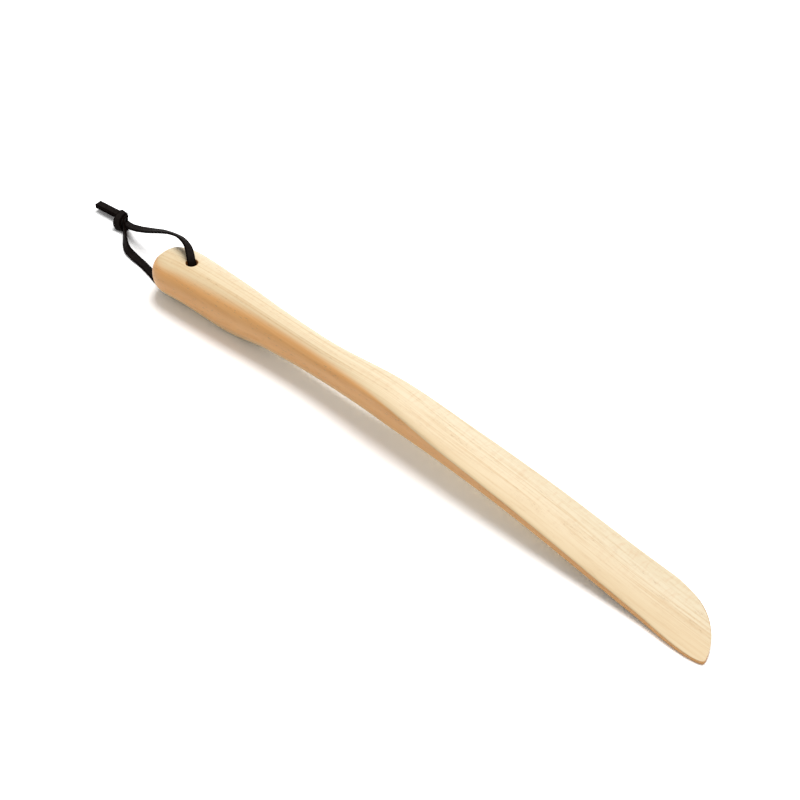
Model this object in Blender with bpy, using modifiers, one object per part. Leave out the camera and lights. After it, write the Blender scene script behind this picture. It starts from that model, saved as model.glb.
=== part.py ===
"""Long-handled wooden shoe horn with a leather hanging lace.

The body is one carved piece of wood: a thick rounded handle that runs out into a shallow hollow blade,
with its tip cut to a slanted, rounded outline. A flat leather lace goes through a hole near the butt
end, and one overhand knot ties its two ends together.

Units are metres. +X runs from the butt end to the tip and +Z is up. The part lies hollow side down on
Z = 0, and the origin is below the middle of the body's bounding box.
"""

from collections import namedtuple
from math import copysign, cos, pi, radians, sin, tau

import bmesh
import bpy
import numpy as np
from mathutils import Vector

# Lengths of the body
HANDLE_LENGTH = 0.215
BLADE_LENGTH = 0.245
BODY_LENGTH = HANDLE_LENGTH + BLADE_LENGTH

# Rounding of the butt end, seen from above and from the side. A power of 2 is a quarter circle, and a
# higher one is fuller.
BUTT_PLAN_ROUND = 0.022
BUTT_SIDE_ROUND = 0.007
BUTT_POWER = 2.3

# Outline of the tip: the far edge sweeps round, the near edge keeps a corner that is set in a little
TIP_SWEEP = 0.049
TIP_SWEEP_POWER = 1.53
TIP_CORNER_LENGTH = 0.036
TIP_CORNER_INSET = 0.0065

# How full the rounded edges of the cross sections are
EDGE_FULLNESS = 1.6

# Hole for the lace. The rim flares, and the cutter reaches past the wood.
HOLE_DIAMETER = 0.008
HOLE_FROM_BUTT = 0.030
HOLE_RIM = 0.0008
CUTTER_REACH = 0.004

# Leather lace. The knot is widest across the way that the lace passes through it.
LACE_WIDTH = 0.0055
LACE_THICKNESS = 0.0015
KNOT_LENGTH = 0.0080
KNOT_WIDTH = 0.0136
KNOT_HEIGHT = 0.0100
KNOT_SQUARENESS = 0.5
TAIL_LENGTH = 0.0204
TAIL_DROP = 0.0004
TAIL_POINTS = 4

# Gaps that pieces keep to each other and to the floor
FIT_GAP = 0.0003
FLOOR_GAP = 0.0001

# Mesh density
RING_POINTS = 36
BUTT_RINGS = 8
MIDDLE_RINGS = 33
TIP_RINGS = 12
LAST_RING = 0.0001
HOLE_SEGMENTS = 28
ROUTE_STEP = 0.003
CURVE_STEPS = 24

# One cross section of the body. place: distance from the butt end. ridge: height of the widest line.
# wall: depth of the side below the ridge. shoulder: rise of the rounding above the ridge. crown: further
# rise to the middle of the top. hollow: depth of the scoop in the middle of the underside. heel: rounding
# of the lower edges.
Section = namedtuple("Section", "place width ridge wall shoulder crown hollow heel")


def on_handle(share):
    return share * HANDLE_LENGTH


def on_blade(share):
    return HANDLE_LENGTH + share * BLADE_LENGTH


BUTT = Section(on_handle(0.00), 0.0380, 0.0185, 0.0155, 0.0075, 0.0026, 0.0000, 0.0085)
PALM = Section(on_handle(0.15), 0.0350, 0.0215, 0.0187, 0.0078, 0.0041, 0.0000, 0.0120)
GRIP = Section(on_handle(0.33), 0.0305, 0.0230, 0.0250, 0.0076, 0.0041, 0.0000, 0.0145)
TAPER = Section(on_handle(0.50), 0.0250, 0.0240, 0.0185, 0.0070, 0.0036, 0.0000, 0.0100)
NECK = Section(on_handle(0.68), 0.0225, 0.0250, 0.0175, 0.0063, 0.0030, 0.0000, 0.0095)
CREST = Section(on_handle(0.97), 0.0260, 0.0305, 0.0205, 0.0028, 0.0022, 0.0003, 0.0058)
ROOT = Section(on_blade(0.19), 0.0300, 0.0260, 0.0135, 0.0012, 0.0022, 0.0044, 0.0032)
BELLY = Section(on_blade(0.42), 0.0330, 0.0200, 0.0094, 0.0008, 0.0024, 0.0076, 0.0022)
SHOULDER = Section(on_blade(0.80), 0.0373, 0.0062, 0.0061, 0.0006, 0.0026, 0.0060, 0.0014)
TIP = Section(on_blade(1.00), 0.0480, 0.0010, 0.0026, 0.0005, 0.0024, 0.0030, 0.0010)
SECTIONS = (BUTT, PALM, GRIP, TAPER, NECK, CREST, ROOT, BELLY, SHOULDER, TIP)

# Materials: colour, roughness
WOOD = ((0.80, 0.60, 0.37), 0.48)
LEATHER = ((0.022, 0.016, 0.013), 0.62)


def curve_value(places, values, x):
    """Height at x of the smooth curve through the values, which never overshoots them."""
    steps = np.diff(places)
    rises = np.diff(values) / steps
    same_way = rises[1:] * rises[:-1] > 0
    total = np.where(same_way, rises[1:] + rises[:-1], 1)
    inner = np.where(same_way, 2 * rises[1:] * rises[:-1] / total, 0)
    slopes = np.concatenate([rises[:1], inner, rises[-1:]])
    i = int(np.clip(np.searchsorted(places, x) - 1, 0, len(steps) - 1))
    t = (x - places[i]) / steps[i]
    return (
        values[i] * (2 * t**3 - 3 * t**2 + 1)
        + slopes[i] * steps[i] * (t**3 - 2 * t**2 + t)
        + values[i + 1] * (3 * t**2 - 2 * t**3)
        + slopes[i + 1] * steps[i] * (t**3 - t**2)
    )


def section_at(x):
    columns = np.array(SECTIONS).T
    return Section(x, *(curve_value(columns[0], column, x) for column in columns[1:]))


def end_round(x, length):
    """Share of the full size at distance x from the butt end, for an end rounded over the length."""
    t = min(max(x / length, 0), 1)
    return (1 - (1 - t) ** BUTT_POWER) ** (1 / BUTT_POWER)


def edges_at(x, width):
    """Y of the near and far edges at x, with the outlines of the butt end and the tip."""
    half = width / 2
    sweep = max(x - (BODY_LENGTH - TIP_SWEEP), 0) / TIP_SWEEP
    corner = max(x - (BODY_LENGTH - TIP_CORNER_LENGTH), 0) / TIP_CORNER_LENGTH
    kept = (1 - sweep**TIP_SWEEP_POWER) ** (1 / TIP_SWEEP_POWER)
    far = half - (width - TIP_CORNER_INSET) * (1 - kept)
    near = -half + TIP_CORNER_INSET * (1 - (1 - corner**2) ** 0.5)
    share = end_round(x, BUTT_PLAN_ROUND)
    return near * share, far * share


def ring_at(x):
    """Points round the body at distance x from the butt end, with Y from the middle and Z from the floor."""
    s = section_at(x)
    near, far = edges_at(x, s.width)
    half = s.width / 2
    plan = end_round(x, BUTT_PLAN_ROUND)
    middle = s.ridge + (s.shoulder + s.crown - s.wall) / 2
    points = []
    for i in range(RING_POINTS):
        angle = i * tau / RING_POINTS
        across = cos(angle)
        y = (near + far) / 2 + (far - near) / 2 * across
        inward = 1 - min(abs(y) / (half * plan), 1) ** 2
        if i <= RING_POINTS / 2:
            drop = abs(across) ** (EDGE_FULLNESS * half / s.shoulder)
            z = s.ridge + s.shoulder * (1 - min(drop, 1)) ** 0.5 + s.crown * inward
        else:
            rise = abs(across) ** (EDGE_FULLNESS * half / s.heel)
            z = s.ridge - s.wall * (1 - min(rise, 1)) ** 0.5 + s.hollow * inward
        z = middle + (z - middle) * end_round(x, BUTT_SIDE_ROUND)
        # The carved body is sanded flat where it meets the floor.
        points.append((x, y, max(z, 0)))
    return points


def ring_places():
    """Distances from the butt end: close together where the ends round off, wider along the body."""
    butt_turns = np.linspace(0, pi / 2, BUTT_RINGS + 1)[1:]
    butt = [BUTT_PLAN_ROUND * (1 - cos(turn)) for turn in butt_turns]
    tip_turns = np.linspace(0, pi / 2, TIP_RINGS + 1)[:-1]
    tip = [BODY_LENGTH - TIP_SWEEP * (1 - sin(turn)) for turn in tip_turns]
    middle = np.linspace(butt[-1], tip[0], MIDDLE_RINGS + 2)[1:-1]
    return [*butt, *middle, *tip, BODY_LENGTH - LAST_RING]


def material(name, look):
    colour, roughness = look
    result = bpy.data.materials.new(name)
    result.use_nodes = True
    shader = result.node_tree.nodes["Principled BSDF"]
    shader.inputs["Base Color"].default_value = (*colour, 1)
    shader.inputs["Roughness"].default_value = roughness
    shader.inputs["Metallic"].default_value = 0
    result.diffuse_color = (*colour, 1)
    return result


def add_object(name, data, collection, parent=None):
    piece = bpy.data.objects.new(name, data)
    collection.objects.link(piece)
    piece.parent = parent
    return piece


def loft(name, rings, start):
    """Closed mesh over the rings, with a point at the start and a flat end."""
    bm = bmesh.new()
    loops = [[bm.verts.new(point) for point in ring] for ring in rings]
    tip = bm.verts.new(start)
    for i in range(RING_POINTS):
        j = (i + 1) % RING_POINTS
        bm.faces.new((tip, loops[0][j], loops[0][i]))
        for a, b in zip(loops, loops[1:]):
            bm.faces.new((a[i], a[j], b[j], b[i]))
    bm.faces.new(loops[-1])
    bmesh.ops.recalc_face_normals(bm, faces=bm.faces)
    mesh = bpy.data.meshes.new(name)
    bm.to_mesh(mesh)
    bm.free()
    mesh.shade_smooth()
    mesh.set_sharp_from_angle(angle=radians(40))
    return mesh


def make_body(pieces, cutters, frame, wood):
    rings = [ring_at(x) for x in ring_places()]
    start = (0, 0, BUTT.ridge + (BUTT.shoulder + BUTT.crown - BUTT.wall) / 2)
    body = add_object("horn_body", loft("horn_body", rings, start), pieces, frame)
    body.data.materials.append(wood)
    cut = body.modifiers.new("lace_hole", "BOOLEAN")
    cut.operation = "DIFFERENCE"
    cut.solver = "EXACT"
    cut.object = make_hole_cutter(cutters, frame)
    return body


def make_hole_cutter(cutters, frame):
    """Turned cutter for the lace hole, which flares at both mouths so that no sharp rim meets the lace."""
    bottom, top = hole_span()
    radius = HOLE_DIAMETER / 2
    flare = radius + HOLE_RIM + CUTTER_REACH
    profile = [
        (0, top + CUTTER_REACH),
        (flare, top + CUTTER_REACH),
        (radius, top - HOLE_RIM),
        (radius, bottom + HOLE_RIM),
        (flare, bottom - CUTTER_REACH),
        (0, bottom - CUTTER_REACH),
    ]
    bm = bmesh.new()
    line = [bm.verts.new((x, 0, z)) for x, z in profile]
    for a, b in zip(line, line[1:]):
        bm.edges.new((a, b))
    mesh = bpy.data.meshes.new("hole_cutter")
    bm.to_mesh(mesh)
    bm.free()
    cutter = add_object("hole_cutter", mesh, cutters, frame)
    cutter.location.x = HOLE_FROM_BUTT
    cutter.hide_render = True
    cutter.display_type = "WIRE"
    turn = cutter.modifiers.new("turn", "SCREW")
    turn.steps = turn.render_steps = HOLE_SEGMENTS
    turn.use_merge_vertices = True
    turn.merge_threshold = 0.00001
    return cutter


def along_route(route, step):
    """Evenly spaced rows on a smooth curve through the route's rows of X, Y, Z and the strap's roll."""
    rows = np.array(route, float)
    ends = np.vstack([2 * rows[0] - rows[1], rows, 2 * rows[-1] - rows[-2]])
    fine = []
    for p0, p1, p2, p3 in zip(ends, ends[1:], ends[2:], ends[3:]):
        for t in np.linspace(0, 1, CURVE_STEPS, endpoint=False):
            fine.append(
                0.5 * (2 * p1 + (p2 - p0) * t + (2 * p0 - 5 * p1 + 4 * p2 - p3) * t**2)
                + 0.5 * (3 * p1 - p0 - 3 * p2 + p3) * t**3
            )
    fine = np.array([*fine, rows[-1]])
    length = np.concatenate([[0], np.cumsum(np.linalg.norm(np.diff(fine[:, :3], axis=0), axis=1))])
    marks = np.linspace(0, length[-1], max(2, round(length[-1] / step)) + 1)
    return np.array([np.interp(marks, length, column) for column in fine.T]).T


def make_strap(name, route, pieces, parent, leather):
    """Flat strap with rounded edges along the route. A roll of 0 degrees lays it flat."""
    rows = along_route(route, ROUTE_STEP)
    curve = bpy.data.curves.new(name, "CURVE")
    curve.dimensions = "3D"
    curve.twist_mode = "Z_UP"
    curve.extrude = (LACE_WIDTH - LACE_THICKNESS) / 2
    curve.bevel_depth = LACE_THICKNESS / 2
    curve.bevel_resolution = 1
    curve.use_fill_caps = True
    spline = curve.splines.new("POLY")
    spline.points.add(len(rows) - 1)
    for point, (x, y, z, roll) in zip(spline.points, rows):
        point.co = (x, y, z, 1)
        point.tilt = pi / 2 + radians(roll)
    curve.materials.append(leather)
    return add_object(name, curve, pieces, parent)


# The lace's routes. X and Y are counted from the hole's axis, Z from the floor, and the last value is the
# strap's roll in degrees. Both strands enter one end of the knot side by side, and both tails leave its
# other end, one above the other.
ON_FLOOR = LACE_THICKNESS / 2 + FLOOR_GAP
ON_EDGE = 0.0029
STRAP_PITCH = LACE_THICKNESS + FIT_GAP
KNOT_MIDDLE = Vector((-0.0960, 0.0197, KNOT_HEIGHT / 2 + FLOOR_GAP))
KNOT_TURN = radians(200)
KNOT_OUT = Vector((cos(KNOT_TURN), sin(KNOT_TURN), 0))
KNOT_ACROSS = Vector((-sin(KNOT_TURN), cos(KNOT_TURN), 0))
TAIL_TURN = radians(184.5)
TAIL_OUT = Vector((cos(TAIL_TURN), sin(TAIL_TURN), 0))

# Where the straps meet the knot: distance from its end, place across it and height above the floor. The end
# rounds off towards its sides, so the tails start a little behind its foremost point.
UPPER_ENTRY = (0.0017, 0.0016, 0.0068)
LOWER_ENTRY = (0.0006, 0.0043, ON_EDGE)
LOWER_EXIT = (-0.0003, -0.0053, 0.0038)
UPPER_EXIT = (*LOWER_EXIT[:2], LOWER_EXIT[2] + STRAP_PITCH)


def knot_end(side, meeting):
    """Where a strap meets the knot: side -1 for the strands and 1 for the tails."""
    gap, across, height = meeting
    point = KNOT_MIDDLE + KNOT_OUT * side * (KNOT_LENGTH / 2 + gap) + KNOT_ACROSS * across
    return (point.x, point.y, height)


def hole_span():
    """Heights of the underside and the top of the body at the hole."""
    s = section_at(HOLE_FROM_BUTT)
    return max(s.ridge - s.wall, 0), s.ridge + s.shoulder + s.crown


def upper_route():
    """From the middle of the hole up over the butt end and down to the knot."""
    bottom, top = hole_span()
    middle = (bottom + top) / 2 + FIT_GAP / 2
    return (
        (0.0000, 0.0000, middle, -20),
        (0.0000, 0.0000, middle + 0.0065, -10),
        (-0.0004, 0.0004, top - 0.0025, 2),
        (-0.0020, 0.0013, top + 0.0013, 6),
        (-0.0054, 0.0035, top + 0.0035, 16),
        (-0.0110, 0.0066, top + 0.0044, 28),
        (-0.0210, 0.0100, top + 0.0030, 33),
        (-0.0330, 0.0126, top - 0.0017, 27),
        (-0.0460, 0.0146, top - 0.0081, 9),
        (-0.0590, 0.0159, top - 0.0151, -2),
        (-0.0710, 0.0166, top - 0.0208, -6),
        (-0.0760, 0.0168, top - 0.0227, -7),
        (-0.0812, 0.0174, top - 0.0247, -5),
        (*knot_end(-1, UPPER_ENTRY), 0),
    )


def lower_route():
    """From the knot, where it stands on its edge, along the floor and up to the middle of the hole."""
    bottom, top = hole_span()
    middle = (bottom + top) / 2 - FIT_GAP / 2
    return (
        (*knot_end(-1, LOWER_ENTRY), 84),
        (-0.0845, 0.0131, ON_EDGE, 72),
        (-0.0794, 0.0089, ON_EDGE, 62),
        (-0.0743, 0.0054, ON_EDGE, 54),
        (-0.0699, 0.0034, 0.0026, 44),
        (-0.0650, 0.0026, 0.0021, 28),
        (-0.0590, 0.0020, 0.0014, 12),
        (-0.0520, 0.0013, 0.0010, 4),
        (-0.0410, -0.0009, ON_FLOOR, 0),
        (-0.0324, -0.0030, ON_FLOOR, 0),
        (-0.0210, -0.0034, ON_FLOOR, 0),
        (-0.0120, -0.0022, ON_FLOOR, 0),
        (-0.0050, -0.0010, ON_FLOOR, 0),
        (-0.0020, -0.0004, ON_FLOOR + 0.0009, 0),
        (-0.0004, -0.0001, ON_FLOOR + 0.0032, 0),
        (0.0000, 0.0000, ON_FLOOR + 0.0062, 7),
        (0.0000, 0.0000, middle, 20),
    )


def tail_route(meeting):
    """Short tail that runs straight out of the knot and droops a little towards its end."""
    start = Vector(knot_end(1, meeting))
    rows = []
    for share in np.linspace(0, 1, TAIL_POINTS):
        point = start + TAIL_OUT * TAIL_LENGTH * share
        rows.append((point.x, point.y, point.z - TAIL_DROP * share**2, 0))
    return rows


def make_knot(pieces, parent, leather):
    """Ball drawn out to a block with soft edges, of the knot's outer size."""
    bm = bmesh.new()
    bmesh.ops.create_uvsphere(bm, u_segments=20, v_segments=12, radius=1)
    for vert in bm.verts:
        for axis, size in enumerate((KNOT_LENGTH, KNOT_WIDTH, KNOT_HEIGHT)):
            value = vert.co[axis]
            vert.co[axis] = copysign(abs(value) ** KNOT_SQUARENESS, value) * size / 2
    mesh = bpy.data.meshes.new("lace_knot")
    bm.to_mesh(mesh)
    bm.free()
    mesh.shade_smooth()
    mesh.materials.append(leather)
    knot = add_object("lace_knot", mesh, pieces, parent)
    knot.location = KNOT_MIDDLE
    knot.rotation_euler.z = KNOT_TURN
    return knot


def make_lace(pieces, frame, leather):
    """The lace turns about the hole's axis, so all of it hangs on an empty there."""
    pivot = add_object("lace_pivot", None, pieces, frame)
    pivot.location.x = HOLE_FROM_BUTT
    make_strap("lace_upper_strand", upper_route(), pieces, pivot, leather)
    make_strap("lace_lower_strand", lower_route(), pieces, pivot, leather)
    make_knot(pieces, pivot, leather)
    make_strap("lace_tail_lower", tail_route(LOWER_EXIT), pieces, pivot, leather)
    make_strap("lace_tail_upper", tail_route(UPPER_EXIT), pieces, pivot, leather)


def new_collection(name):
    collection = bpy.data.collections.new(name)
    bpy.context.scene.collection.children.link(collection)
    return collection


def main():
    for old in list(bpy.data.objects):
        bpy.data.objects.remove(old)
    pieces = new_collection("shoe_horn")
    cutters = new_collection("cutters")
    cutters.hide_render = True
    edges = np.array([edges_at(x, section_at(x).width) for x in ring_places()])
    frame = add_object("frame", None, pieces)
    frame.location.x = -BODY_LENGTH / 2
    frame.location.y = -(edges.min() + edges.max()) / 2
    make_body(pieces, cutters, frame, material("beech", WOOD))
    make_lace(pieces, frame, material("leather", LEATHER))


main()
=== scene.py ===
"""Long-handled wooden shoe horn with a knotted leather lace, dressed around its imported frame.

The wood is lofted again from the same cross sections as the frame, much finer, and gets a beech finish. The
lace is swept as a flat leather strap along the frame's routes, with a wound knot and two short tails.
Units are metres. +X runs from the butt end to the tip and +Z is up.
"""

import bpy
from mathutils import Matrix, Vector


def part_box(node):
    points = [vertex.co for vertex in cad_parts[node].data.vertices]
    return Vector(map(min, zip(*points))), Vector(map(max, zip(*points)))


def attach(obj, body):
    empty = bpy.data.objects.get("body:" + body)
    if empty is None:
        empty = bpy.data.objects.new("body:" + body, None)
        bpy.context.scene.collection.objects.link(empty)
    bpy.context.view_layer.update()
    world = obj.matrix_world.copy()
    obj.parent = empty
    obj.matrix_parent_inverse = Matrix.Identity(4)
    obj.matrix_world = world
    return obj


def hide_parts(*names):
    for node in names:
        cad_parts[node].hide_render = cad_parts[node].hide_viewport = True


bl_info = {
    "name": "Long-Handled Shoe Horn",
    "version": (1, 0, 0),
    "blender": (4, 5, 0),
    "location": "View3D > Sidebar > Shoe Horn",
    "description": "Builds a wooden shoe horn with a knotted leather lace on a pale floor",
    "category": "Object",
}

from collections import namedtuple
from math import atan2, cos, pi, radians, sin, tan, tau

import bmesh
import bpy
import numpy as np
from mathutils import Matrix, Vector

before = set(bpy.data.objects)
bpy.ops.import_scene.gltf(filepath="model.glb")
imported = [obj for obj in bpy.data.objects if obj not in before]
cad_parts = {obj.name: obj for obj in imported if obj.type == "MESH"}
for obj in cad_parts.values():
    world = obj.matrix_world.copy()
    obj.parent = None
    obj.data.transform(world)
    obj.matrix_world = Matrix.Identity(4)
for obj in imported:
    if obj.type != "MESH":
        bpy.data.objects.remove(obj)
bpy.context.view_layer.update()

# Where the sections are counted from: the butt end, on the wood's centre line
BUTT_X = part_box("horn_body")[0].x
CENTRE_Y = 0.00113

# Proportions of the wood, the same as in the frame. The butt end is rounded seen from above and from the
# side. At the tip the far edge sweeps round, and the near edge turns in by the inset over the corner's
# length. A power of 2 makes a rounding part of an ellipse, and a higher power or fullness makes it squarer.
HANDLE_LENGTH = 0.215
BLADE_LENGTH = 0.245
BODY_LENGTH = HANDLE_LENGTH + BLADE_LENGTH
BUTT_PLAN_ROUND = 0.022
BUTT_SIDE_ROUND = 0.007
BUTT_POWER = 2.3
TIP_SWEEP = 0.049
TIP_SWEEP_POWER = 1.53
TIP_CORNER_LENGTH = 0.036
TIP_CORNER_INSET = 0.0065
EDGE_FULLNESS = 1.6

# The lace hole, and the foot of its axis
HOLE_DIAMETER = 0.008
HOLE_FROM_BUTT = 0.030
HOLE_X = BUTT_X + HOLE_FROM_BUTT
HOLE = Vector((HOLE_X, CENTRE_Y, 0))

# Rings of points that close each end of the wood, and how far the last one stops before the point of the tip
BUTT_RINGS = 24
TIP_RINGS = 48
TIP_GAP = 0.00003

# Cutter of the lace hole: steps round it, points on each rounded mouth, how far it stands out at both ends,
# and how far outside the wood it starts to widen
CUTTER_STEPS = 64
CUTTER_RIM_POINTS = 7
CUTTER_REACH = 0.004
CUTTER_LIP = 0.0004
MERGE_DISTANCE = 0.000001

# Edges sharper than this stay crisp in the shading.
SHARP_ANGLE = radians(50)

# The lace: its size, and its gaps to itself and to the floor
LEATHER_NAME = "dyed_leather"
LACE_WIDTH = 0.0055
LACE_THICKNESS = 0.0015
FIT_GAP = 0.0003
FLOOR_GAP = 0.0001

# Camera, solved from the outline of the wood
CAMERA_AZIMUTH = radians(43.2)
CAMERA_ELEVATION = radians(43)
CAMERA_FIELD = radians(22)
CAMERA_DISTANCE = 1.2427
CAMERA_TARGET = Vector((0, CENTRE_Y, 0.015))
CAMERA_SHIFT_RIGHT = -0.0111
CAMERA_SHIFT_UP = 0.0177

# One cross section of the wood. The ridge is the height of its widest line above the floor. Above that line
# the shoulder is the height of the rounded edge and the crown that of the middle over it. Below it the wall
# is the depth of the side, the heel the size of its lower rounding, and the hollow the height of the scoop.
Section = namedtuple("Section", "place width ridge wall shoulder crown hollow heel")


def on_handle(share):
    """Distance from the butt end of a place at a share of the handle's length."""
    return share * HANDLE_LENGTH


def on_blade(share):
    """Distance from the butt end of a place at a share of the blade's length."""
    return HANDLE_LENGTH + share * BLADE_LENGTH


SECTIONS = (
    Section(on_handle(0.00), 0.0380, 0.0185, 0.0155, 0.0075, 0.0026, 0.0000, 0.0085),
    Section(on_handle(0.15), 0.0350, 0.0215, 0.0187, 0.0078, 0.0041, 0.0000, 0.0120),
    Section(on_handle(0.33), 0.0305, 0.0230, 0.0250, 0.0076, 0.0041, 0.0000, 0.0145),
    Section(on_handle(0.50), 0.0250, 0.0240, 0.0185, 0.0070, 0.0036, 0.0000, 0.0100),
    Section(on_handle(0.68), 0.0225, 0.0250, 0.0175, 0.0063, 0.0030, 0.0000, 0.0095),
    Section(on_handle(0.97), 0.0260, 0.0305, 0.0205, 0.0028, 0.0022, 0.0003, 0.0058),
    Section(on_blade(0.19), 0.0300, 0.0260, 0.0135, 0.0012, 0.0022, 0.0044, 0.0032),
    Section(on_blade(0.42), 0.0330, 0.0200, 0.0094, 0.0008, 0.0024, 0.0076, 0.0022),
    Section(on_blade(0.80), 0.0373, 0.0062, 0.0061, 0.0006, 0.0026, 0.0060, 0.0014),
    Section(on_blade(1.00), 0.0480, 0.0010, 0.0026, 0.0005, 0.0024, 0.0030, 0.0010),
)


def curve_value(places, values, x):
    """Height at x of the smooth curve through the values, which never overshoots them."""
    steps = np.diff(places)
    rises = np.diff(values) / steps
    same_way = rises[1:] * rises[:-1] > 0
    total = np.where(same_way, rises[1:] + rises[:-1], 1)
    inner = np.where(same_way, 2 * rises[1:] * rises[:-1] / total, 0)
    slopes = np.concatenate([rises[:1], inner, rises[-1:]])
    i = int(np.clip(np.searchsorted(places, x) - 1, 0, len(steps) - 1))
    t = (x - places[i]) / steps[i]
    return (
        values[i] * (2 * t**3 - 3 * t**2 + 1)
        + slopes[i] * steps[i] * (t**3 - 2 * t**2 + t)
        + values[i + 1] * (3 * t**2 - 2 * t**3)
        + slopes[i + 1] * steps[i] * (t**3 - t**2)
    )


def section_at(x):
    """Cross section at distance x from the butt end, on smooth curves through the given ones."""
    columns = np.array(SECTIONS).T
    return Section(x, *(curve_value(columns[0], column, x) for column in columns[1:]))


def end_round(x, length):
    """Share of the full size at distance x from the butt end, for an end rounded over the length."""
    t = min(max(x / length, 0), 1)
    return (1 - (1 - t) ** BUTT_POWER) ** (1 / BUTT_POWER)


def edges_at(x, width):
    """Y of the near and far edges at x, with the outlines of the butt end and the tip."""
    half = width / 2
    sweep = max(x - (BODY_LENGTH - TIP_SWEEP), 0) / TIP_SWEEP
    corner = max(x - (BODY_LENGTH - TIP_CORNER_LENGTH), 0) / TIP_CORNER_LENGTH
    kept = (1 - sweep**TIP_SWEEP_POWER) ** (1 / TIP_SWEEP_POWER)
    far = half - (width - TIP_CORNER_INSET) * (1 - kept)
    near = -half + TIP_CORNER_INSET * (1 - (1 - corner**2) ** 0.5)
    share = end_round(x, BUTT_PLAN_ROUND)
    return near * share, far * share


def place_ring(verts, x):
    """Moves the points of a circle onto the outline of the cross section at distance x from the butt end."""
    s = section_at(x)
    near, far = edges_at(x, s.width)
    half = s.width / 2
    plan = end_round(x, BUTT_PLAN_ROUND)
    middle = s.ridge + (s.shoulder + s.crown - s.wall) / 2
    # The first half of the circle makes the top, the second half the underside.
    for i, vert in enumerate(verts):
        across = cos(i * tau / len(verts))
        y = (near + far) / 2 + (far - near) / 2 * across
        inward = 1 - min(abs(y) / (half * plan), 1) ** 2
        if i <= len(verts) / 2:
            drop = abs(across) ** (EDGE_FULLNESS * half / s.shoulder)
            z = s.ridge + s.shoulder * (1 - min(drop, 1)) ** 0.5 + s.crown * inward
        else:
            rise = abs(across) ** (EDGE_FULLNESS * half / s.heel)
            z = s.ridge - s.wall * (1 - min(rise, 1)) ** 0.5 + s.hollow * inward
        z = middle + (z - middle) * end_round(x, BUTT_SIDE_ROUND)
        vert.co = (BUTT_X + x, CENTRE_Y + y, max(z, 0))


def hole_span():
    """Heights of the underside and the top of the body at the hole."""
    s = section_at(HOLE_FROM_BUTT)
    return max(s.ridge - s.wall, 0), s.ridge + s.shoulder + s.crown


def add_piece(name, bm, look=None, smooth=True):
    """Object from a finished bmesh."""
    mesh = bpy.data.meshes.new(name)
    bm.to_mesh(mesh)
    bm.free()
    if smooth:
        mesh.shade_smooth()
    piece = bpy.data.objects.new(name, mesh)
    bpy.context.scene.collection.objects.link(piece)
    if look:
        mesh.materials.append(look)
    return piece


def bake_modifiers(piece):
    """Applies the piece's modifiers to its mesh."""
    bpy.context.view_layer.update()
    shown = piece.evaluated_get(bpy.context.evaluated_depsgraph_get())
    mesh = bpy.data.meshes.new_from_object(shown)
    piece.modifiers.clear()
    piece.data = mesh


class Number:
    """A shader value that Python's operators turn into Math nodes."""

    def __init__(self, look, socket):
        self.look = look
        self.socket = socket

    def math(self, operation, *values):
        return self.look.number("ShaderNodeMath", {"operation": operation}, dict(enumerate(values)), 0)

    def __add__(self, other):
        return self.math("ADD", self, other)

    def __sub__(self, other):
        return self.math("SUBTRACT", self, other)

    def __mul__(self, other):
        return self.math("MULTIPLY", self, other)

    def __rsub__(self, other):
        return self.math("SUBTRACT", other, self)

    def __abs__(self):
        return self.math("ABSOLUTE", self)

    __radd__ = __add__
    __rmul__ = __mul__

    def maximum(self, other):
        return self.math("MAXIMUM", self, other)

    def ramp(self, low, high):
        """0 up to low and 1 from high, smooth between them."""
        settings = {"interpolation_type": "SMOOTHSTEP"}
        values = {"Value": self, "From Min": low, "From Max": high}
        return self.look.number("ShaderNodeMapRange", settings, values, "Result")


# Places of the Mix node's sockets when it mixes colours
MIX_FACTOR = 0
MIX_FIRST = 6
MIX_SECOND = 7
MIX_RESULT = 2


def opaque(colour):
    """Colour with full alpha, or a colour socket as it is."""
    if isinstance(colour, bpy.types.NodeSocket):
        return colour
    return (*colour, 1)


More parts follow.
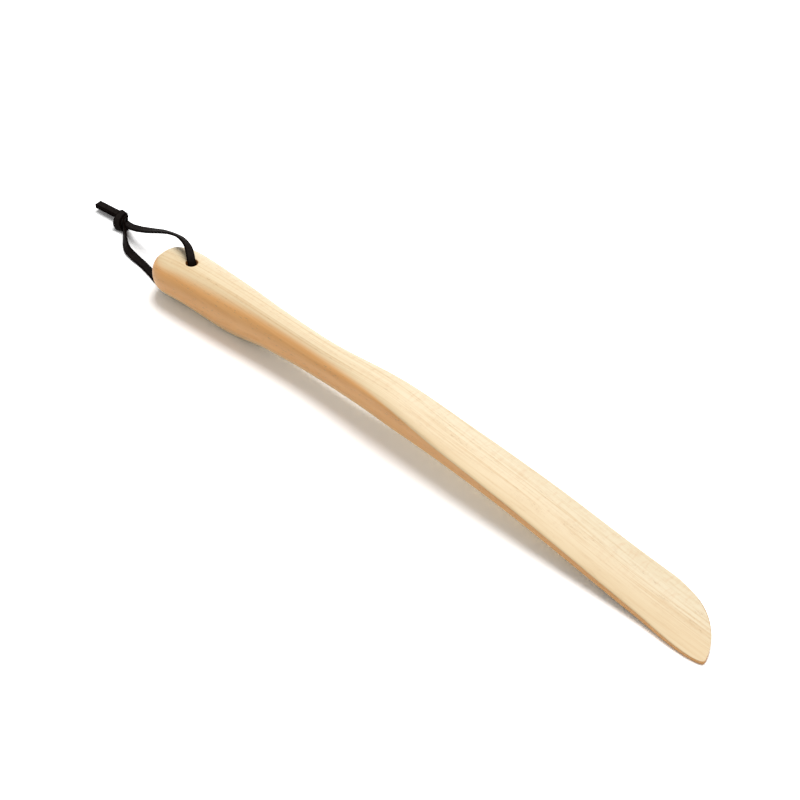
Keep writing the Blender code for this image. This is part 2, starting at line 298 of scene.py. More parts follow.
class Look:
    """A material under construction."""

    def __init__(self, name):
        self.material = bpy.data.materials.new(name)
        self.material.use_nodes = True
        self.tree = self.material.node_tree
        self.tree.nodes.clear()

    def node(self, kind, settings=None, values=None):
        """Adds a node, sets its own settings, then its sockets' values or links."""
        node = self.tree.nodes.new(kind)
        for name, value in (settings or {}).items():
            setattr(node, name, value)
        for name, value in (values or {}).items():
            if isinstance(value, Number):
                value = value.socket
            if isinstance(value, bpy.types.NodeSocket):
                self.tree.links.new(value, node.inputs[name])
            else:
                node.inputs[name].default_value = value
        return node

    def number(self, kind, settings, values, output):
        return Number(self, self.node(kind, settings, values).outputs[output])

    def noise(self, vector, scale, detail, roughness=0.5, distortion=0):
        values = {
            "Vector": vector,
            "Scale": scale,
            "Detail": detail,
            "Roughness": roughness,
            "Distortion": distortion,
        }
        return self.number("ShaderNodeTexNoise", None, values, "Fac")

    def stretched(self, point, scale, turn=0):
        """Object coordinates turned about Z and scaled, so that a pattern gets its size along each axis."""
        values = {"Vector": point, "Rotation": (0, 0, turn), "Scale": scale}
        return self.node("ShaderNodeMapping", {"vector_type": "POINT"}, values).outputs["Vector"]

    def mix(self, factor, first, second, blend="MIX"):
        """Colour mix of two colours or colour sockets."""
        settings = {"data_type": "RGBA", "blend_type": blend}
        values = {MIX_FACTOR: factor, MIX_FIRST: opaque(first), MIX_SECOND: opaque(second)}
        return self.node("ShaderNodeMix", settings, values).outputs[MIX_RESULT]

    def finish(self, shader):
        """Puts the shader on the material's surface."""
        self.node("ShaderNodeOutputMaterial", None, {"Surface": shader})
        return self.material

    def finish_solid(self, colour, rough, height, specular, strength, distance):
        """Puts a shader on the surface whose fine relief comes from the height, strength and distance."""
        relief = {"Strength": strength, "Distance": distance, "Height": height}
        values = {
            "Base Color": colour,
            "Roughness": rough,
            "Normal": self.node("ShaderNodeBump", None, relief).outputs["Normal"],
            "Specular IOR Level": specular,
        }
        return self.finish(self.node("ShaderNodeBsdfPrincipled", None, values).outputs["BSDF"])


class WoodSettings(bpy.types.PropertyGroup):
    """Sizes and colours of the wood"""

    ring_step: bpy.props.FloatProperty(
        name="Ring Step",
        description="Distance between the cross sections along the wood",
        default=0.0016,
        min=0.0005,
        unit="LENGTH",
    )
    ring_points: bpy.props.IntProperty(
        name="Ring Points",
        description="Points round each cross section",
        default=144,
        min=36,
    )
    hole_rim: bpy.props.FloatProperty(
        name="Hole Rim",
        description="Radius of the rounding at both mouths of the lace hole",
        default=0.0009,
        min=0.0002,
        unit="LENGTH",
    )
    # Partly painted light: the far half's pale tone is partly the wood's own and partly a painted sheen of
    # the lamp behind.
    pale_sheen_colour: bpy.props.FloatVectorProperty(
        name="Pale Colour",
        description="Colour of the far half of the top, in the palest growth layers",
        default=(0.82, 0.71, 0.51),
        subtype="COLOR",
    )
    golden_colour: bpy.props.FloatVectorProperty(
        name="Golden Colour",
        description="Colour of the near half of the top",
        default=(0.80, 0.62, 0.37),
        subtype="COLOR",
    )
    # Painted shade: this deeper orange on the sides stands in for the warm shade where they face away from
    # the lamp.
    shaded_side_colour: bpy.props.FloatVectorProperty(
        name="Side Colour",
        description="Colour of the sides, where the deeper growth layers come out",
        default=(0.88, 0.47, 0.175),
        subtype="COLOR",
    )
    fleck_colour: bpy.props.FloatVectorProperty(
        name="Fleck Colour",
        description="Colour of the short dark flecks",
        default=(0.45, 0.29, 0.16),
        subtype="COLOR",
    )


class LaceSettings(bpy.types.PropertyGroup):
    """Sizes and colours of the lace"""

    step: bpy.props.FloatProperty(
        name="Step",
        description="Distance between the cross sections along the lace",
        default=0.0008,
        min=0.0003,
        unit="LENGTH",
    )
    corner: bpy.props.FloatProperty(
        name="Corner",
        description="Radius of the lace's long edges",
        default=0.00035,
        min=0.0001,
        unit="LENGTH",
    )
    face_colour: bpy.props.FloatVectorProperty(
        name="Face Colour",
        description="Colour of the dyed faces",
        default=(0.0085, 0.0062, 0.0055),
        subtype="COLOR",
    )
    worn_colour: bpy.props.FloatVectorProperty(
        name="Worn Colour",
        description="Colour of the faces where the dye is rubbed",
        default=(0.0150, 0.0115, 0.0103),
        subtype="COLOR",
    )
    edge_colour: bpy.props.FloatVectorProperty(
        name="Edge Colour",
        description="Colour of the cut edges, where the dye is thinner",
        default=(0.0028, 0.0012, 0.0009),
        subtype="COLOR",
    )
    fibre_colour: bpy.props.FloatVectorProperty(
        name="Fibre Colour",
        description="Colour of the fibres that show in the cut edges",
        default=(0.030, 0.011, 0.007),
        subtype="COLOR",
    )


class StageSettings(bpy.types.PropertyGroup):
    """Light and floor"""

    key_power: bpy.props.FloatProperty(
        name="Key Power",
        description="Power of the large soft lamp overhead",
        default=22.5,
        min=0,
        unit="POWER",
    )
    key_place: bpy.props.FloatVectorProperty(
        name="Key Place",
        description="Where the lamp hangs. It points at the middle of the floor",
        default=(-0.16, 0.46, 1.4),
        subtype="TRANSLATION",
    )
    key_size: bpy.props.FloatProperty(
        name="Key Size",
        description="Diameter of the lamp's round face",
        default=1.1,
        min=0.01,
        unit="LENGTH",
    )
    fill: bpy.props.FloatProperty(
        name="Fill",
        description="Strength of the even light from all round",
        default=0.34,
        min=0,
    )
    floor_size: bpy.props.FloatProperty(
        name="Floor Size",
        description="Distance from the middle of the floor to its sides",
        default=4,
        min=1,
        unit="LENGTH",
    )
    floor_colour: bpy.props.FloatVectorProperty(
        name="Floor Colour",
        description="Colour of the floor as the object sees it",
        default=(0.82, 0.82, 0.82),
        subtype="COLOR",
    )
    floor_gain: bpy.props.FloatProperty(
        name="Floor Gain",
        description="Brightness of the floor for the camera, so that it is plain white outside the shadow",
        default=1.42,
        min=0,
    )


# The painted shade on the wood's sides, a deeper orange for the shade where they face away from the lamp:
# how far up a surface faces where it starts, how much lower that is on the blade, how wide it is, and where
# along X the blade starts
SIDE_SHADE_START = 0.90
SIDE_SHADE_DROP = 0.45
SIDE_SHADE_WIDTH = 0.42
BLADE_START = (-0.04, 0.03)
# Share of the way towards the far side, where the lamp hangs, that counts as facing up, so the painted shade
# follows the light
LAMP_TILT = 0.2
# How much less of the painted shade the far side has, as it faces the lamp, where along Y that begins and
# ends, and how far up a surface faces between the underside and the sides
FAR_SIDE_LESS_SHADE = 0.45
FAR_SIDE = (0, 0.012)
UNDERSIDE_FACING = (-0.85, -0.4)
# The golden tone of the near half, partly the wood's own and partly painted shade: how far the growth layers
# make its border wander, and where it sets in and is full, counted towards the near side
GOLDEN_WANDER = 0.006
GOLDEN_BORDER = (-0.011, 0.019)
# The band of stronger lines and flecks along the middle: its place along Y, and over which distances from
# there it fades
BAND_MIDDLE = 0.001
BAND_FADE = (0.003, 0.011)

# The wood's figure, as changes per metre along X, Y and Z, and its turn against the blade's edges
LAYER_SCALE = (3, 60, 45)
STREAK_SCALE = (9, 420, 300)
LINE_SCALE = (4, 1000, 110)
FLECK_SCALE = (300, 3000, 1400)
RIPPLE_SCALE = (420, 110, 200)
GRAIN_TURN = radians(1.5)
# What the layers, streaks, lines and ripples take from the wood's colour
LAYER_TINT = (0.93, 0.88, 0.80)
STREAK_TINT = (0.90, 0.82, 0.72)
LINE_TINT = (0.88, 0.79, 0.67)
RIPPLE_TINT = (0.95, 0.86, 0.80)

# The leather's figure, as changes per metre
LEATHER_GRAIN_SCALE = 1700
PEBBLE_SCALE = 1500
WEAR_SCALE = 420
FIBRE_SCALE = (900, 900, 5000)


def beech_look(settings):
    """Pale oiled beech: long growth streaks, fine lines, short dark flecks and faint cross ripples, with
    painted shade on the sides and a painted sheen in the far half's pale tone.
    """
    look = Look("beech_wood")
    point = look.node("ShaderNodeTexCoord").outputs["Object"]

    def figure(scale, detail, roughness=0.5, distortion=0):
        """Noise stretched along the grain."""
        return look.noise(look.stretched(point, scale, GRAIN_TURN), 1, detail, roughness, distortion)

    layers = figure(LAYER_SCALE, 3)
    streaks = figure(STREAK_SCALE, 3, 0.6)
    lines = figure(LINE_SCALE, 2, 0.6)
    flecks = figure(FLECK_SCALE, 1)
    ripples = figure(RIPPLE_SCALE, 2, 0.6, 0.6)

    parts = look.node("ShaderNodeSeparateXYZ", None, {"Vector": point})
    x = Number(look, parts.outputs["X"])
    y = Number(look, parts.outputs["Y"])
    facing = look.number("ShaderNodeAttribute", {"attribute_name": "facing_up"}, None, "Fac")

    # Painted shade: the handle turns deeper orange where its top rolls over into the side, the blade only
    # below its crisp edge.
    side = (SIDE_SHADE_START - x.ramp(*BLADE_START) * SIDE_SHADE_DROP - facing).ramp(0, SIDE_SHADE_WIDTH)
    # The painted shade is weaker on the far side, which faces the lamp, and fades out on the underside.
    side = side * (1 - y.ramp(*FAR_SIDE) * FAR_SIDE_LESS_SHADE) * facing.ramp(*UNDERSIDE_FACING)
    golden = (layers * GOLDEN_WANDER - y).ramp(*GOLDEN_BORDER)
    band = 1 - abs(y - BAND_MIDDLE).ramp(*BAND_FADE)
    marks = flecks.ramp(0.62, 0.70) * (0.35 + band * 0.65 + side * 0.9) * streaks.ramp(0.42, 0.62)

    # Golden near half and pale far half: the wood's own tone, with painted shade on the near half and
    # painted sheen on the far half.
    colour = look.mix(golden, settings.pale_sheen_colour, settings.golden_colour)
    # Painted shade on the sides, which face away from the lamp.
    colour = look.mix(side, colour, settings.shaded_side_colour)
    # Each pattern's ramp picks the share of it that shows, and the factors say where and how strongly.
    tints = (
        (layers.ramp(0.35, 0.7) * (0.3 + side * 0.7), LAYER_TINT),
        (streaks.ramp(0.4, 0.75) * 0.5, STREAK_TINT),
        (lines.ramp(0.46, 0.66) * (0.3 + band * 0.5), LINE_TINT),
        (ripples.ramp(0.45, 0.75) * (1 - golden) * 0.8, RIPPLE_TINT),
    )
    for strength, tint in tints:
        colour = look.mix(strength, colour, tint, "MULTIPLY")
    colour = look.mix(marks * 0.6, colour, settings.fleck_colour)

    rough = 0.46 + lines * 0.08 + marks * 0.12
    height = lines * 0.5 + streaks * 0.3 - marks
    return look.finish_solid(colour, rough, height, specular=0.45, strength=0.25, distance=0.00008)


def leather_look(settings):
    """Near-black dyed leather: fine grain, worn grey-brown faces and darker, redder cut edges."""
    look = Look(LEATHER_NAME)
    point = look.node("ShaderNodeTexCoord").outputs["Object"]
    edge = look.number("ShaderNodeAttribute", {"attribute_name": "cut_edge"}, None, "Fac")
    grain = look.noise(point, LEATHER_GRAIN_SCALE, 3, 0.6)
    wear = look.noise(point, WEAR_SCALE, 3, 0.6)
    fibres = look.noise(look.stretched(point, FIBRE_SCALE), 1, 2)
    pebble = look.number(
        "ShaderNodeTexVoronoi",
        {"feature": "DISTANCE_TO_EDGE"},
        {"Vector": point, "Scale": PEBBLE_SCALE},
        "Distance",
    )
    colour = look.mix(wear.ramp(0.3, 0.7), settings.face_colour, settings.worn_colour)
    colour = look.mix(edge.ramp(0.02, 0.6), colour, settings.edge_colour)
    colour = look.mix(fibres.ramp(0.5, 0.75) * edge.ramp(0.6, 1) * 0.5, colour, settings.fibre_colour)
    rough = 0.62 + grain * 0.12 + edge * 0.1
    height = pebble.ramp(0.0, 0.25) * 0.6 + grain * 0.4 + fibres * edge * 0.6
    return look.finish_solid(colour, rough, height, specular=0.03, strength=0.5, distance=0.00006)


def leather():
    """The lace's one material, made the first time it is asked for."""
    return bpy.data.materials.get(LEATHER_NAME) or leather_look(bpy.context.scene.shoehorn_lace)


def floor_look(settings):
    """White paper floor. The camera sees it brighter, so that only the shadow stands out."""
    look = Look("white_floor")
    path = look.node("ShaderNodeLightPath")
    seen = Number(look, path.outputs["Is Camera Ray"])
    for ray in ("Is Glossy Ray", "Is Transmission Ray"):
        seen = seen.maximum(Number(look, path.outputs[ray]))
    gain = settings.floor_gain
    colour = look.mix(seen, settings.floor_colour, (gain, gain, gain))
    shader = look.node("ShaderNodeBsdfDiffuse", None, {"Color": colour})
    return look.finish(shader.outputs["BSDF"])


def new_ring(bm, count):
    """Points of a circle in order of their angle, joined by edges."""
    made = bmesh.ops.create_circle(bm, segments=count, radius=1)
    return sorted(made["verts"], key=lambda vert: atan2(vert.co.y, vert.co.x) % tau)


def ring_edges(bm, ring):
    """Edges between the neighbours of a closed ring of points."""
    return [bm.edges.get((a, b)) for a, b in zip(ring, ring[1:] + ring[:1])]


def bridge(bm, rings):
    """Joins each ring of points to the next with faces."""
    for first, second in zip(rings, rings[1:]):
        bmesh.ops.bridge_loops(bm, edges=ring_edges(bm, first) + ring_edges(bm, second))


class SHOEHORN_OT_wood(bpy.types.Operator):
    """Loft the wooden body, bore the lace hole and give it its beech finish"""

    bl_idname = "shoehorn.wood"
    bl_label = "Wooden Body"

    def execute(self, context):
        settings = context.scene.shoehorn_wood
        piece = add_piece("horn_wood", self.body_mesh(settings), beech_look(settings))
        cutter = self.hole_cutter(settings)
        cut = piece.modifiers.new("lace_hole", "BOOLEAN")
        cut.operation = "DIFFERENCE"
        cut.solver = "MANIFOLD"
        cut.object = cutter
        bake_modifiers(piece)
        bpy.data.objects.remove(cutter)
        piece.data.shade_smooth()
        self.mark_facing(piece.data)
        piece.data.set_sharp_from_angle(angle=SHARP_ANGLE)
        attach(piece, "horn")
        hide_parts("horn_body")
        return {"FINISHED"}

    def mark_facing(self, mesh):
        """Stores how far up, and a little towards the far side where the lamp hangs, each point of the
        surface faces, for the painted shade.
        """
        facing = mesh.attributes.new("facing_up", "FLOAT", "POINT")
        values = [vert.normal.z + LAMP_TILT * vert.normal.y for vert in mesh.vertices]
        facing.data.foreach_set("value", values)

    def places(self, step):
        """Distances from the butt end of the cross sections: closer together where the ends round off."""
        butt_turns = np.linspace(0, pi / 2, BUTT_RINGS + 1)[1:]
        tip_turns = np.linspace(0, pi / 2, TIP_RINGS + 1)[:-1]
        butt = [BUTT_PLAN_ROUND * (1 - cos(turn)) for turn in butt_turns]
        tip = [BODY_LENGTH - TIP_SWEEP * (1 - sin(turn)) for turn in tip_turns]
        count = round((tip[0] - butt[-1]) / step)
        middle = np.linspace(butt[-1], tip[0], count + 1)[1:-1]
        return [*butt, *middle, *tip, BODY_LENGTH - TIP_GAP]

    def body_mesh(self, settings):
        """Body lofted through its cross sections, closed by a pole at the butt end and a face at the tip."""
        bm = bmesh.new()
        rings = []
        for x in self.places(settings.ring_step):
            ring = new_ring(bm, settings.ring_points)
            place_ring(ring, x)
            rings.append(ring)
        bridge(bm, rings)
        butt_face = bmesh.ops.contextual_create(bm, geom=ring_edges(bm, rings[0]))["faces"]
        pole = bmesh.ops.poke(bm, faces=butt_face)["verts"][0]
        pole.co.x = BUTT_X
        bmesh.ops.contextual_create(bm, geom=ring_edges(bm, rings[-1]))
        bmesh.ops.recalc_face_normals(bm, faces=bm.faces)
        return bm

    def hole_cutter(self, settings):
        """Turned cutter with a rounded flare at both mouths."""
        bottom, top = hole_span()
        radius = HOLE_DIAMETER / 2
        rim = settings.hole_rim
        turns = np.linspace(0, pi / 2, CUTTER_RIM_POINTS)
        mouth = [(radius + rim * (1 - cos(turn)), top - rim * (1 - sin(turn))) for turn in turns]
        wide = radius + rim + CUTTER_REACH
        upper = [
            *mouth,
            (radius + rim, top + CUTTER_LIP),
            (wide, top + CUTTER_REACH),
            (0, top + CUTTER_REACH),
        ]
        lower = [(r, top + bottom - z) for r, z in upper]
        profile = [*reversed(upper), *lower]
        bm = bmesh.new()
        line = [bm.verts.new((r, 0, z)) for r, z in profile]
        edges = [bm.edges.new((a, b)) for a, b in zip(line, line[1:])]
        bmesh.ops.spin(
            bm,
            geom=line + edges,
            axis=(0, 0, 1),
            cent=(0, 0, 0),
            angle=tau,
            steps=CUTTER_STEPS,
            use_merge=True,
        )
        bmesh.ops.remove_doubles(bm, verts=bm.verts, dist=MERGE_DISTANCE)
        bmesh.ops.translate(bm, verts=bm.verts, vec=HOLE)
        bmesh.ops.recalc_face_normals(bm, faces=bm.faces)
        return add_piece("hole_cutter", bm)


# Height of the strap's middle line where it lies flat on the floor, and where it stands on its edge
ON_FLOOR = LACE_THICKNESS / 2 + FLOOR_GAP
ON_EDGE = 0.0029

# The knot: its middle, counted from the hole's axis, and the ways along and across it
KNOT_MIDDLE = Vector((-0.0960, 0.0197, 0))
KNOT_TURN = radians(200)
KNOT_OUT = Vector((cos(KNOT_TURN), sin(KNOT_TURN), 0))
KNOT_ACROSS = Vector((-sin(KNOT_TURN), cos(KNOT_TURN), 0))

# The tails: their way out of the knot, the places along and across the knot where they leave its turns and
# where they come free, the height of the lower one, and how far the upper one lies above it
TAIL_TURN = radians(184.5)
TAIL_OUT = Vector((cos(TAIL_TURN), sin(TAIL_TURN), 0))
TAIL_ROOT = (0.0004, -0.0024)
TAIL_START = (0.0048, -0.0053)
TAIL_LENGTH = 0.0193
TAIL_DROP = 0.0004
TAIL_POINTS = 4
TAIL_HEIGHT = 0.0038
TAIL_PITCH = LACE_THICKNESS + FIT_GAP

# The middle line of the knot's outer turn: places along and across the knot, height, and how far the strap
# slants across the knot. It runs over the top, down the near side, and back under the strands.
KNOT_LOOP = (
    (-0.0039, 0.0032, 0.0009, 0.00),
    (-0.0033, 0.0050, 0.0013, 0.00),
    (-0.0019, 0.0057, 0.0030, 0.00),
    (-0.0005, 0.0052, 0.0052, 0.10),
    (0.0001, 0.0036, 0.0070, 0.20),
    (0.0002, 0.0012, 0.0082, 0.30),
    (-0.0001, -0.0016, 0.0089, 0.39),
    (-0.0006, -0.0044, 0.0089, 0.39),
    (-0.0008, -0.0054, 0.0078, 0.39),
    (-0.0005, -0.0049, 0.0046, 0.30),
    (-0.0008, -0.0039, 0.0019, 0.20),
    (-0.0018, -0.0020, 0.0009, 0.10),
    (-0.0030, 0.0004, 0.0009, 0.00),
)
# How far each of the knot's two turns lies inside that line, and how far along the knot it is shifted
KNOT_WINDINGS = ((0, 0.0004), (LACE_THICKNESS, -0.0012))

# Parts between two given points when a smooth curve is drawn through them
ROUTE_PARTS = 24
KNOT_PARTS = 12


def in_knot(along, across, height):
    """Place counted from the knot's middle along and across it, and from the floor up."""
    point = KNOT_MIDDLE + KNOT_OUT * along + KNOT_ACROSS * across
    return (point.x, point.y, height)


# Each row of a route is X and Y from the hole's axis, Z from the floor, and the strap's roll in degrees. The
# routes follow the frame's strands and go on into the knot.
def upper_route():
    """From the middle of the hole up over the butt end and down into the knot."""
    bottom, top = hole_span()
    middle = (bottom + top) / 2 + FIT_GAP / 2
    return (
        (0.0000, 0.0000, middle, 20),
        (0.0000, 0.0000, middle + 0.0065, 10),
        (-0.0004, 0.0004, top - 0.0025, 2),
        (-0.0020, 0.0013, top + 0.0013, 6),
        (-0.0054, 0.0035, top + 0.0035, 16),
        (-0.0110, 0.0066, top + 0.0044, 28),
        (-0.0210, 0.0100, top + 0.0030, 33),
        (-0.0330, 0.0126, top - 0.0017, 27),
        (-0.0460, 0.0146, top - 0.0081, 9),
        (-0.0590, 0.0159, top - 0.0151, -2),
        (-0.0710, 0.0166, top - 0.0208, -6),
        (-0.0760, 0.0168, top - 0.0227, -7),
        (-0.0812, 0.0174, top - 0.0247, -5),
        (*in_knot(-0.0094, 0.0046, 0.0068), 0),
        (*in_knot(-0.0070, 0.0031, 0.0058), 0),
        (*in_knot(-0.0049, 0.0022, 0.0054), 0),
    )


def lower_route():
    """From the knot, where it stands on its edge, along the floor and up to the middle of the hole."""
    bottom, top = hole_span()
    middle = (bottom + top) / 2 - FIT_GAP / 2
    return (
        (*in_knot(-0.0040, 0.0016, 0.0088), 84),
        (*in_knot(-0.0048, 0.0038, 0.0072), 82),
        (*in_knot(-0.0060, 0.0058, 0.0044), 78),
        (-0.0845, 0.0131, ON_EDGE, 72),
        (-0.0794, 0.0089, ON_EDGE, 62),
        (-0.0743, 0.0054, ON_EDGE, 54),
        (-0.0699, 0.0034, 0.0026, 44),
        (-0.0650, 0.0026, 0.0021, 28),
        (-0.0590, 0.0020, 0.0014, 12),
        (-0.0520, 0.0013, 0.0010, 4),
        (-0.0410, -0.0009, ON_FLOOR, 0),
        (-0.0324, -0.0030, ON_FLOOR, 0),
        (-0.0210, -0.0034, ON_FLOOR, 0),
        (-0.0120, -0.0022, ON_FLOOR, 0),
        (-0.0050, -0.0010, ON_FLOOR, 0),
        (-0.0020, -0.0004, ON_FLOOR + 0.0009, 0),
        (-0.0004, -0.0001, ON_FLOOR + 0.0032, 0),
        (0.0000, 0.0000, ON_FLOOR + 0.0062, -7),
        (0.0000, 0.0000, middle, -20),
    )


def tail_route(height):
    """Short tail that runs straight out of the knot and droops a little towards its end."""
    start = Vector(in_knot(*TAIL_START, height))
    rows = [(*in_knot(*TAIL_ROOT, height), 0)]
    for share in np.linspace(0, 1, TAIL_POINTS):
        point = start + TAIL_OUT * TAIL_LENGTH * share
        rows.append((point.x, point.y, point.z - TAIL_DROP * share**2, 0))
    return rows


def smooth_rows(rows, parts):
    """Rows on a smooth curve from the second of the given rows to the last but one."""
    fine = []
    for p0, p1, p2, p3 in zip(rows, rows[1:], rows[2:], rows[3:]):
        for t in np.linspace(0, 1, parts, endpoint=False):
            fine.append(
                0.5 * (2 * p1 + (p2 - p0) * t + (2 * p0 - 5 * p1 + 4 * p2 - p3) * t**2)
                + 0.5 * (3 * p1 - p0 - 3 * p2 + p3) * t**3
            )
    return np.array(fine)


def along_route(route, step):
    """Evenly spaced rows of X, Y, Z and roll on a smooth curve through the route, in the frame's place."""
    rows = np.array(route, float)
    rows[:, 0] += HOLE_X
    rows[:, 1] += CENTRE_Y
    ends = np.vstack([2 * rows[0] - rows[1], rows, 2 * rows[-1] - rows[-2]])
    fine = np.vstack([smooth_rows(ends, ROUTE_PARTS), rows[-1]])
    steps = np.linalg.norm(np.diff(fine[:, :3], axis=0), axis=1)
    length = np.concatenate([[0], np.cumsum(steps)])
    places = np.linspace(0, length[-1], max(2, round(length[-1] / step)) + 1)
    return np.array([np.interp(places, length, column) for column in fine.T]).T


# The strap's cross section: its corners as across, up and the angle where each starts, the angles of a
# corner's points, where the flat faces have points, and where the edge mark starts. The last two are shares
# of half the width.
CORNERS = ((1, 1, 0), (-1, 1, 90), (-1, -1, 180), (1, -1, 270))
CORNER_TURNS = (0, 30, 60, 90)
FACE_SHARES = (0.8, 0.6, 0.3, 0, -0.3, -0.6, -0.8)
EDGE_MARK_START = 0.6
# How level the strap has to run for its heading to be taken from it: 1 is level, 0 is upright
SLOPING = 0.25


def unit(vector):
    return vector / np.linalg.norm(vector)


def strap_sides(points, rolls):
    """Ways the strap runs, and its directions across: level, square to the way, then rolled about it.

    Where the strap stands upright it keeps the heading of its nearest sloping stretch.
    """
    ways = np.gradient(points, axis=0)
    ways /= np.linalg.norm(ways, axis=1)[:, None]
    level = np.linalg.norm(ways[:, :2], axis=1)
    sloping = np.flatnonzero(level > SLOPING)
    sides = []
    for i, way in enumerate(ways):
        nearest = sloping[np.argmin(abs(sloping - i))]
        heading = ways[nearest] * (1, 1, 0)
        side = unit(np.cross((0, 0, 1), heading))
        side = unit(side - way * (side @ way))
        turn = Matrix.Rotation(radians(rolls[i]), 3, Vector(way))
        sides.append(np.array(turn @ Vector(side)))
    return ways, np.array(sides)


def strap_outline(corner):
    """Points round the strap's cross section, across and up, with how near each is to a cut edge."""
    half_width = LACE_WIDTH / 2
    half_thickness = LACE_THICKNESS / 2
    outline = []
    for across, up, start in CORNERS:
        for turn in CORNER_TURNS:
            angle = radians(start + turn)
            y = across * (half_width - corner) + corner * cos(angle)
            z = up * (half_thickness - corner) + corner * sin(angle)
            outline.append((y, z))
        if across == up:
            # The faces between the corners get points of their own, so that the edge mark fades on them.
            outline += [(across * share * half_width, up * half_thickness) for share in FACE_SHARES]
    fade = 1 - EDGE_MARK_START
    marks = [max(0, abs(y) / half_width - EDGE_MARK_START) / fade for y, z in outline]
    return outline, marks


def sweep_strap(bm, points, ways, sides, corner, edge_layer, closed=False):
    """Sweeps the flat cross section along the points, closes its ends and marks the cut edges."""
    outline, marks = strap_outline(corner)
    rings = []
    for point, way, side in zip(points, ways, sides):
        ring = new_ring(bm, len(outline))
        up = np.cross(way, side)
        for vert, (across, rise), mark in zip(ring, outline, marks):
            vert.co = Vector(point + side * across + up * rise)
            vert[edge_layer] = mark
        rings.append(ring)
    if closed:
        bridge(bm, [*rings, rings[0]])
        return
    bridge(bm, rings)
    for ring in (rings[0], rings[-1]):
        for vert in ring:
            vert[edge_layer] = 1
        bmesh.ops.contextual_create(bm, geom=ring_edges(bm, ring))


def add_leather(name, bm):
    """Leather object from a finished bmesh, with crisp edges."""
    bmesh.ops.recalc_face_normals(bm, faces=bm.faces)
    piece = add_piece(name, bm, leather())
    piece.data.set_sharp_from_angle(angle=SHARP_ANGLE)
    return piece


def make_strap(name, route, settings):
    """Flat leather strap along a route, and the points of its middle line."""
    rows = along_route(route, settings.step)
    points, rolls = rows[:, :3], rows[:, 3]
    ways, sides = strap_sides(points, rolls)
    bm = bmesh.new()
    edge_layer = bm.verts.layers.float.new("cut_edge")
    sweep_strap(bm, points, ways, sides, settings.corner, edge_layer)
    return add_leather(name, bm), points


def stand_for(piece, node):
    """Lets a piece of the lace move with the lace and stand for its solid."""
    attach(piece, "lace")
    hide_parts(node)


class SHOEHORN_OT_lace(bpy.types.Operator):
    bl_idname = "shoehorn.lace"
    bl_label = "Lace Strands"

    def execute(self, context):
        settings = context.scene.shoehorn_lace
        bottom, top = hole_span()
        strands = (
            ("upper", upper_route(), top),
            ("lower", lower_route(), bottom),
        )
        for name, route, mouth in strands:
            piece, points = make_strap("leather_strand_" + name, route, settings)
            stand_for(piece, "lace_" + name + "_strand")
        return {"FINISHED"}


class SHOEHORN_OT_knot(bpy.types.Operator):
    """Wind the knot and sweep its two tails"""

    bl_idname = "shoehorn.knot"
    bl_label = "Knot and Tails"

    def execute(self, context):
        settings = context.scene.shoehorn_lace
        self.make_knot(settings)
        for name, height in (("upper", TAIL_HEIGHT + TAIL_PITCH), ("lower", TAIL_HEIGHT)):
            tail, _ = make_strap("leather_tail_" + name, tail_route(height), settings)
            stand_for(tail, "lace_tail_" + name)
        return {"FINISHED"}

    def make_knot(self, settings):
        """Doubled strap wound once round the strands."""
        bm = bmesh.new()
        edge_layer = bm.verts.layers.float.new("cut_edge")
        for inset, shift in KNOT_WINDINGS:
            points, ways, sides = self.winding(inset, shift)
            sweep_strap(bm, points, ways, sides, settings.corner, edge_layer, closed=True)
        bmesh.ops.rotate(bm, verts=bm.verts, matrix=Matrix.Rotation(KNOT_TURN, 3, "Z"))
        bmesh.ops.translate(bm, verts=bm.verts, vec=KNOT_MIDDLE + HOLE)
        stand_for(add_leather("leather_knot", bm), "lace_knot")

    def winding(self, inset, shift):
        """Closed loop round the strands, moved in by the inset and along the knot by the shift."""
        corners = np.array(KNOT_LOOP)
        rows = smooth_rows(np.vstack([corners[-1], corners, corners[:2]]), KNOT_PARTS)
        points = rows[:, :3] + (shift, 0, 0)
        around = np.vstack([points[-1], points, points[0]])
        ways = around[2:] - around[:-2]
        ways /= np.linalg.norm(ways, axis=1)[:, None]
        sides = []
        for way, slant in zip(ways, rows[:, 3]):
            axis = np.array((1, -slant, 0))
            sides.append(unit(axis - way * (axis @ way)))
        return points - np.cross(ways, sides) * inset, ways, np.array(sides)


class SHOEHORN_OT_camera(bpy.types.Operator):
    """Put the camera at its place, looking down at the shoe horn from the near side"""

    bl_idname = "shoehorn.camera"
    bl_label = "Camera"

    def execute(self, context):
        # The way from the target back to the camera, and the camera's right and up
        back = Vector(
            (
                sin(CAMERA_AZIMUTH) * cos(CAMERA_ELEVATION),
                -cos(CAMERA_AZIMUTH) * cos(CAMERA_ELEVATION),
                sin(CAMERA_ELEVATION),
            )
        )
        right = Vector((cos(CAMERA_AZIMUTH), sin(CAMERA_AZIMUTH), 0))
        up = back.cross(right)
        data = bpy.data.cameras.new("camera")
        data.lens = data.sensor_width / 2 / tan(CAMERA_FIELD / 2)
        camera = bpy.data.objects.new("camera", data)
        context.scene.collection.objects.link(camera)
        target = CAMERA_TARGET + right * CAMERA_SHIFT_RIGHT + up * CAMERA_SHIFT_UP
        camera.location = target + back * CAMERA_DISTANCE
        camera.rotation_euler = back.to_track_quat("Z", "Y").to_euler()
        context.scene.camera = camera
        return {"FINISHED"}


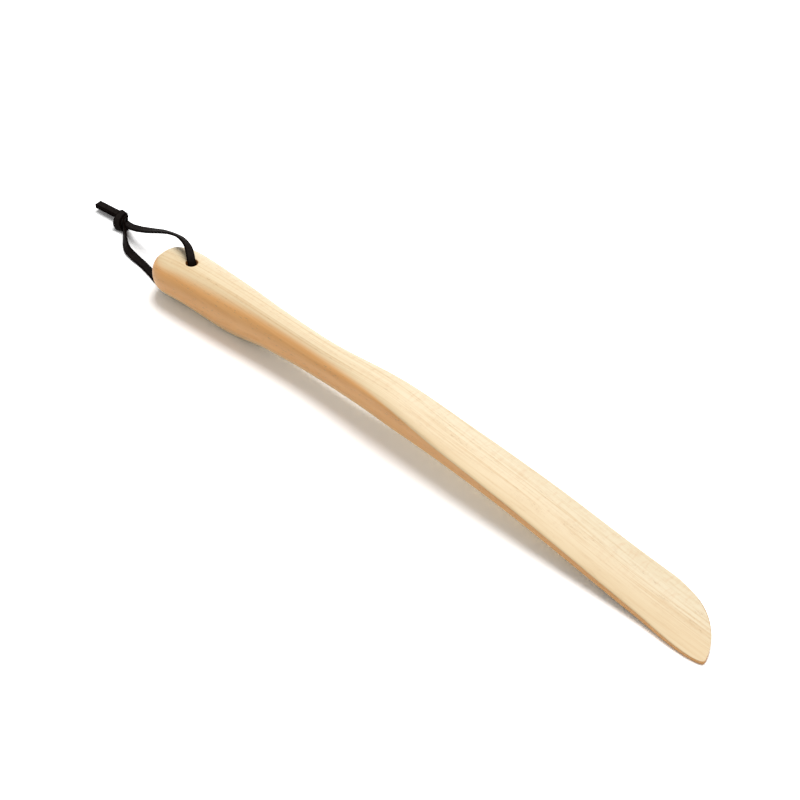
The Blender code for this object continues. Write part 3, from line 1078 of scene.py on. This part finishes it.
class SHOEHORN_OT_stage(bpy.types.Operator):
    """Lay the white floor and set the soft light"""

    bl_idname = "shoehorn.stage"
    bl_label = "Stage"

    def execute(self, context):
        settings = context.scene.shoehorn_stage
        bm = bmesh.new()
        bmesh.ops.create_grid(bm, x_segments=1, y_segments=1, size=settings.floor_size)
        floor = add_piece("floor", bm, floor_look(settings), smooth=False)
        self.add_lamp(context, settings)
        world = bpy.data.worlds.new("studio")
        world.use_nodes = True
        background = world.node_tree.nodes["Background"]
        background.inputs["Color"].default_value = (1, 1, 1, 1)
        background.inputs["Strength"].default_value = settings.fill
        context.scene.world = world
        context.scene.view_settings.view_transform = "Standard"
        return {"FINISHED"}

    def add_lamp(self, context, settings):
        """Hangs the large soft lamp."""
        data = bpy.data.lights.new("key", "AREA")
        data.shape = "DISK"
        data.size = settings.key_size
        data.energy = settings.key_power
        lamp = bpy.data.objects.new("key", data)
        context.scene.collection.objects.link(lamp)
        lamp.location = settings.key_place
        lamp.rotation_euler = Vector(settings.key_place).to_track_quat("Z", "Y").to_euler()


class SHOEHORN_PT_panel(bpy.types.Panel):
    """Sidebar panel with the shoe horn's pieces"""

    bl_idname = "SHOEHORN_PT_panel"
    bl_label = "Shoe Horn"
    bl_space_type = "VIEW_3D"
    bl_region_type = "UI"
    bl_category = "Shoe Horn"

    def draw(self, context):
        layout = self.layout
        scene = context.scene
        for settings in (scene.shoehorn_wood, scene.shoehorn_lace, scene.shoehorn_stage):
            box = layout.box()
            for name in settings.__annotations__:
                box.prop(settings, name)
        for operator in OPERATORS:
            layout.operator(operator.bl_idname)


SETTINGS = {
    "shoehorn_wood": WoodSettings,
    "shoehorn_lace": LaceSettings,
    "shoehorn_stage": StageSettings,
}
OPERATORS = (
    SHOEHORN_OT_camera,
    SHOEHORN_OT_knot,
    SHOEHORN_OT_lace,
    SHOEHORN_OT_wood,
    SHOEHORN_OT_stage,
)
CLASSES = (*SETTINGS.values(), *OPERATORS, SHOEHORN_PT_panel)


def register():
    for cls in CLASSES:
        bpy.utils.register_class(cls)
    for name, group in SETTINGS.items():
        setattr(bpy.types.Scene, name, bpy.props.PointerProperty(type=group))


def unregister():
    for name in SETTINGS:
        delattr(bpy.types.Scene, name)
    for cls in reversed(CLASSES):
        bpy.utils.unregister_class(cls)


def main():
    register()
    bpy.ops.shoehorn.camera()
    bpy.ops.shoehorn.knot()
    bpy.ops.shoehorn.lace()
    bpy.ops.shoehorn.wood()
    bpy.ops.shoehorn.stage()


if __name__ == "__main__":
    main()
